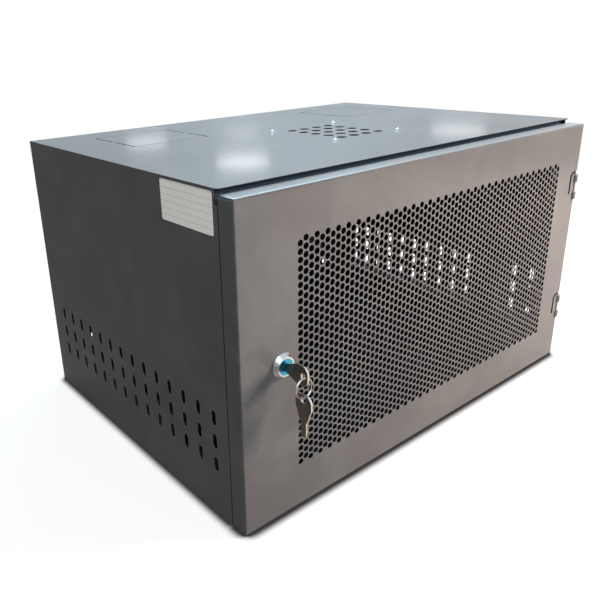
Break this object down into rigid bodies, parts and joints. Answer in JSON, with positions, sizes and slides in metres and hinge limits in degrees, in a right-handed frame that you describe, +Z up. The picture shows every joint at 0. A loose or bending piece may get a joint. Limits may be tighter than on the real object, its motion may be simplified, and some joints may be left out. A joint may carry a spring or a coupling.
{
  "type": "network rack cabinet",
  "caption": "Wall-mounted sheet-steel cabinet for 19-inch network equipment, with a hinged perforated door, cam lock with hanging keys, mounting rails and a roof fan.",
  "frame": {"origin": "middle of the underside of the body, in the plane it stands on", "axes": "+Z up, +X to the right seen from the front, -Y out of the door, +Y into the wall"},
  "size_m": [0.5523, 0.4368, 0.3243],
  "materials": {
    "powder_coat": "satin dark grey powder coat",
    "zinc": "dull zinc plating",
    "black_paint": "black stoving paint",
    "fan_plastic": "moulded black",
    "nickel": "bright nickel plating",
    "label": "blank white film"
  },
  "bodies": {
    "cabinet": {"left_side_panel": "powder_coat", "right_side_panel": "powder_coat", "top_panel": "powder_coat", "bottom_panel": "powder_coat", "back_panel": "powder_coat", "front_top_rim": "powder_coat", "front_bottom_rim": "powder_coat", "left_rail": "black_paint", "right_rail": "black_paint", "left_upper_support": "black_paint", "left_lower_support": "black_paint", "right_upper_support": "black_paint", "right_lower_support": "black_paint", "rail_bolts": "zinc", "rail_nuts": "zinc", "fan_frame": "fan_plastic", "fan_screws": "nickel", "fan_nuts": "zinc", "upper_body_leaf": "powder_coat", "lower_body_leaf": "powder_coat", "upper_hinge_pin": "black_paint", "lower_hinge_pin": "black_paint", "side_label": "label"},
    "door": {"door_panel": "powder_coat", "upper_door_leaf": "powder_coat", "lower_door_leaf": "powder_coat", "lock_body": "nickel", "lock_nut": "nickel"},
    "lock_core": {"lock_plug": "nickel", "lock_cam": "zinc", "cam_screw": "zinc"},
    "key": {"key": "nickel"},
    "key_ring": {"split_ring": "nickel"},
    "spare_key": {"spare_key": "nickel"},
    "fan_rotor": {"fan_rotor": "fan_plastic"}
  },
  "joints": [
    {"name": "door_hinge", "type": "hinge", "parent": "cabinet", "child": "door", "pos_m": [0.2725, -0.1978, 0.1555], "axis": [0, 0, 1], "range_deg": [0, 180]},
    {"name": "lock_turn", "type": "hinge", "parent": "door", "child": "lock_core", "pos_m": [-0.2275, -0.2, 0.161], "axis": [0, -1, 0], "range_deg": [0, 90]},
    {"name": "key_slide", "type": "slide", "parent": "lock_core", "child": "key", "axis": [0, -1, 0], "range_m": [0, 0.025]},
    {"name": "ring_hang", "type": "hinge", "parent": "key", "child": "key_ring", "pos_m": [-0.2275, -0.227, 0.15433], "axis": [0, -1, 0], "range_deg": [-90, 0]},
    {"name": "spare_key_swing", "type": "hinge", "parent": "key_ring", "child": "spare_key", "pos_m": [-0.2275, -0.227, 0.14045], "axis": [1, 0, 0], "range_deg": [-45, 30]},
    {"name": "fan_spin", "type": "hinge", "parent": "cabinet", "child": "fan_rotor", "pos_m": [0.012, -0.027, 0.31], "axis": [0, 0, 1], "continuous": true}
  ],
  "couplings": [
    {"joint": "ring_hang", "follows": "lock_turn", "ratio": -1}
  ]
}
